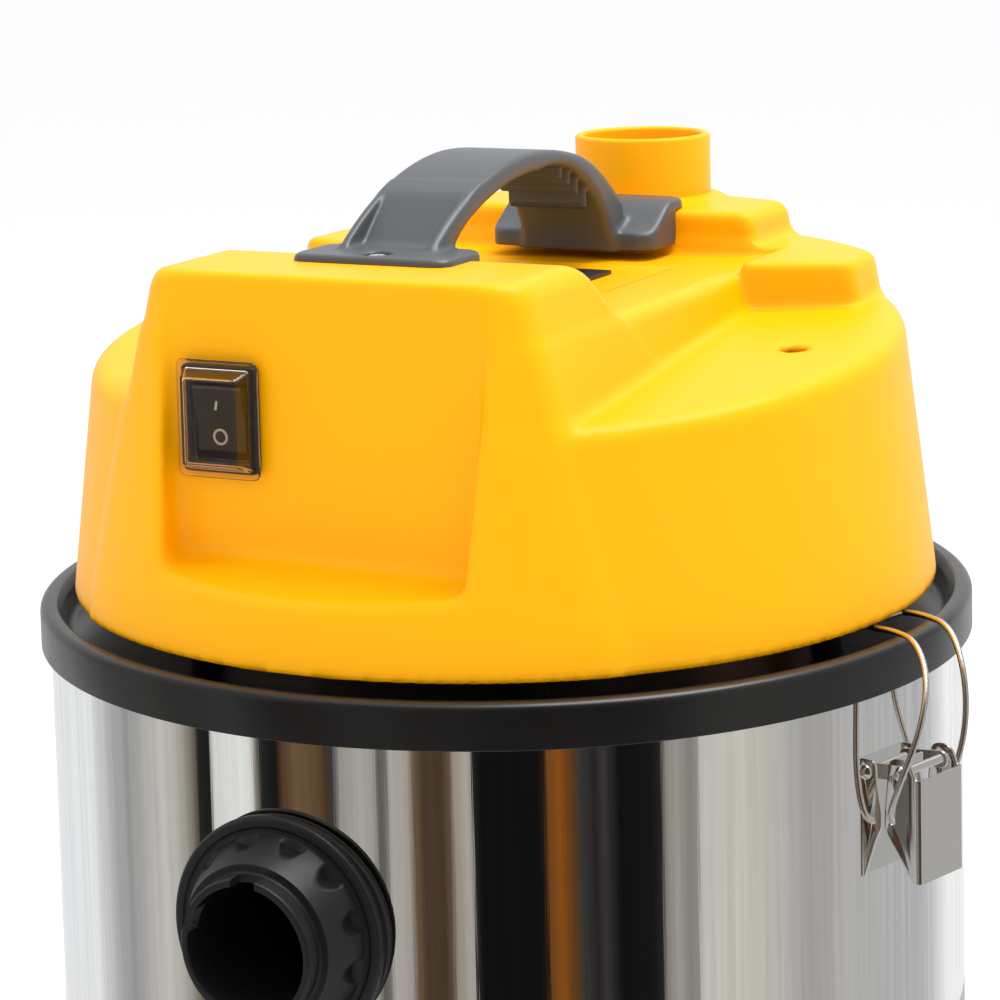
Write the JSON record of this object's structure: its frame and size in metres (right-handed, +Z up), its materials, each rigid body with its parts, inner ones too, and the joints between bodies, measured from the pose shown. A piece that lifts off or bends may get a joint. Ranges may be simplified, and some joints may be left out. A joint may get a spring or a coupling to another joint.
{
  "type": "shop vacuum",
  "caption": "Wet and dry shop vacuum: steel drum on swivel casters, motor head with carrying handle, switch, hose inlet, exhaust port and over-centre clips.",
  "frame": {"origin": "on the drum axis at floor level", "axes": "+Z up along the drum axis; -Y is the front, with the hose inlet and the switch; +X is the right side of a person who stands in front and looks at it"},
  "size_m": [0.3894, 0.394, 0.5976],
  "materials": {
    "mirror_steel": "mirror polished stainless sheet",
    "yellow_plastic": "satin moulded, fine grain",
    "grey_plastic": "satin moulded",
    "black_plastic": "satin moulded",
    "black_satin": "satin moulded",
    "black_rubber": "matt",
    "switch_black": "satin",
    "rocker_black": "satin",
    "clear_cap": "clear moulded cap",
    "filter_cloth": "needle felt",
    "grey_foam": "open cell foam",
    "white_plastic": "satin moulded",
    "motor_aluminium": "pressed and spun",
    "motor_steel": "lacquered laminations",
    "brass": "turned",
    "wheel_grey": "satin moulded",
    "screw_steel": "zinc plated",
    "wire_steel": "drawn wire, polished",
    "clip_steel": "pressed stainless sheet"
  },
  "bodies": {
    "tank": {"base_carriage": "black_plastic", "base_screws": "screw_steel", "brush_holders": "brass", "cable_gland": "black_satin", "carry_handle": "grey_plastic", "clip_hanger_left": "wire_steel", "clip_hanger_right": "wire_steel", "clip_link_left": "clip_steel", "clip_link_right": "clip_steel", "clip_plate_left": "clip_steel", "clip_plate_right": "clip_steel", "cover_screws": "screw_steel", "drum": "mirror_steel", "fan_housing": "motor_aluminium", "filter_bag": "filter_cloth", "filter_ring": "white_plastic", "float_cage": "white_plastic", "handle_screws": "screw_steel", "head_cover": "yellow_plastic", "head_gasket": "black_rubber", "head_plate": "black_plastic", "inlet_deflector": "black_satin", "inlet_gasket": "black_rubber", "inlet_nut": "black_satin", "inlet_socket": "black_satin", "lower_bearing": "screw_steel", "motor_cowl": "black_plastic", "motor_frame": "motor_aluminium", "motor_lower_seal": "black_rubber", "motor_stator": "motor_steel", "motor_upper_seal": "black_rubber", "silencer_foam": "grey_foam", "switch_body": "switch_black", "switch_cap": "clear_cap", "upper_bearing": "screw_steel", "vent_grille": "black_satin"},
    "rotor": {"armature": "motor_steel", "commutator": "brass", "cooling_fan": "black_satin", "turbine": "motor_aluminium"},
    "swivel_front_left": {"caster_axle_front_left": "screw_steel", "caster_fork_front_left": "black_satin"},
    "swivel_front_right": {"caster_axle_front_right": "screw_steel", "caster_fork_front_right": "black_satin"},
    "swivel_rear_left": {"caster_axle_rear_left": "screw_steel", "caster_fork_rear_left": "black_satin"},
    "swivel_rear_right": {"caster_axle_rear_right": "screw_steel", "caster_fork_rear_right": "black_satin"},
    "wheel_front_left": {"caster_wheel_front_left": "wheel_grey"},
    "wheel_front_right": {"caster_wheel_front_right": "wheel_grey"},
    "wheel_rear_left": {"caster_wheel_rear_left": "wheel_grey"},
    "wheel_rear_right": {"caster_wheel_rear_right": "wheel_grey"},
    "clip_bail_left": {"clip_bail_left": "wire_steel"},
    "clip_bail_right": {"clip_bail_right": "wire_steel"},
    "clip_lever_left": {"clip_lever_left": "clip_steel", "clip_lever_pin_left": "clip_steel"},
    "clip_lever_right": {"clip_lever_pin_right": "clip_steel", "clip_lever_right": "clip_steel"},
    "float": {"shutoff_float": "white_plastic"},
    "rocker": {"switch_rocker": "rocker_black"}
  },
  "joints": [
    {"name": "switch_press", "type": "hinge", "parent": "tank", "child": "rocker", "pos_m": [-0.04, -0.132, 0.518], "axis": [-1, 0, 0], "range_deg": [0, 16]},
    {"name": "clip_open_right", "type": "hinge", "parent": "tank", "child": "clip_lever_right", "pos_m": [0.18342, -0.05503, 0.399], "axis": [-0.2874, -0.9578, 0], "range_deg": [0, 120]},
    {"name": "bail_turn_right", "type": "hinge", "parent": "clip_lever_right", "child": "clip_bail_right", "pos_m": [0.18007, -0.05402, 0.3817], "axis": [-0.2874, -0.9578, 0], "range_deg": [-120, 0]},
    {"name": "clip_open_left", "type": "hinge", "parent": "tank", "child": "clip_lever_left", "pos_m": [-0.18342, 0.05503, 0.399], "axis": [0.2874, 0.9578, 0], "range_deg": [0, 120]},
    {"name": "bail_turn_left", "type": "hinge", "parent": "clip_lever_left", "child": "clip_bail_left", "pos_m": [-0.18007, 0.05402, 0.3817], "axis": [0.2874, 0.9578, 0], "range_deg": [-120, 0]},
    {"name": "motor_spin", "type": "hinge", "parent": "tank", "child": "rotor", "pos_m": [0, 0, 0.48], "axis": [0, 0, 1], "continuous": true},
    {"name": "float_rise", "type": "slide", "parent": "tank", "child": "float", "axis": [0, 0, 1], "range_m": [0, 0.029]},
    {"name": "swivel_front_left", "type": "hinge", "parent": "tank", "child": "swivel_front_left", "pos_m": [-0.148, -0.152, 0.06], "axis": [0, 0, 1], "continuous": true},
    {"name": "roll_front_left", "type": "hinge", "parent": "swivel_front_left", "child": "wheel_front_left", "pos_m": [-0.148, -0.172, 0.025], "axis": [1, 0, 0], "continuous": true},
    {"name": "swivel_front_right", "type": "hinge", "parent": "tank", "child": "swivel_front_right", "pos_m": [0.148, -0.152, 0.06], "axis": [0, 0, 1], "continuous": true},
    {"name": "roll_front_right", "type": "hinge", "parent": "swivel_front_right", "child": "wheel_front_right", "pos_m": [0.148, -0.172, 0.025], "axis": [1, 0, 0], "continuous": true},
    {"name": "swivel_rear_left", "type": "hinge", "parent": "tank", "child": "swivel_rear_left", "pos_m": [-0.148, 0.152, 0.06], "axis": [0, 0, 1], "continuous": true},
    {"name": "roll_rear_left", "type": "hinge", "parent": "swivel_rear_left", "child": "wheel_rear_left", "pos_m": [-0.148, 0.172, 0.025], "axis": [1, 0, 0], "continuous": true},
    {"name": "swivel_rear_right", "type": "hinge", "parent": "tank", "child": "swivel_rear_right", "pos_m": [0.148, 0.152, 0.06], "axis": [0, 0, 1], "continuous": true},
    {"name": "roll_rear_right", "type": "hinge", "parent": "swivel_rear_right", "child": "wheel_rear_right", "pos_m": [0.148, 0.172, 0.025], "axis": [1, 0, 0], "continuous": true}
  ],
  "couplings": [
    {"joint": "bail_turn_right", "follows": "clip_open_right", "ratio": -1},
    {"joint": "bail_turn_left", "follows": "clip_open_left", "ratio": -1}
  ]
}
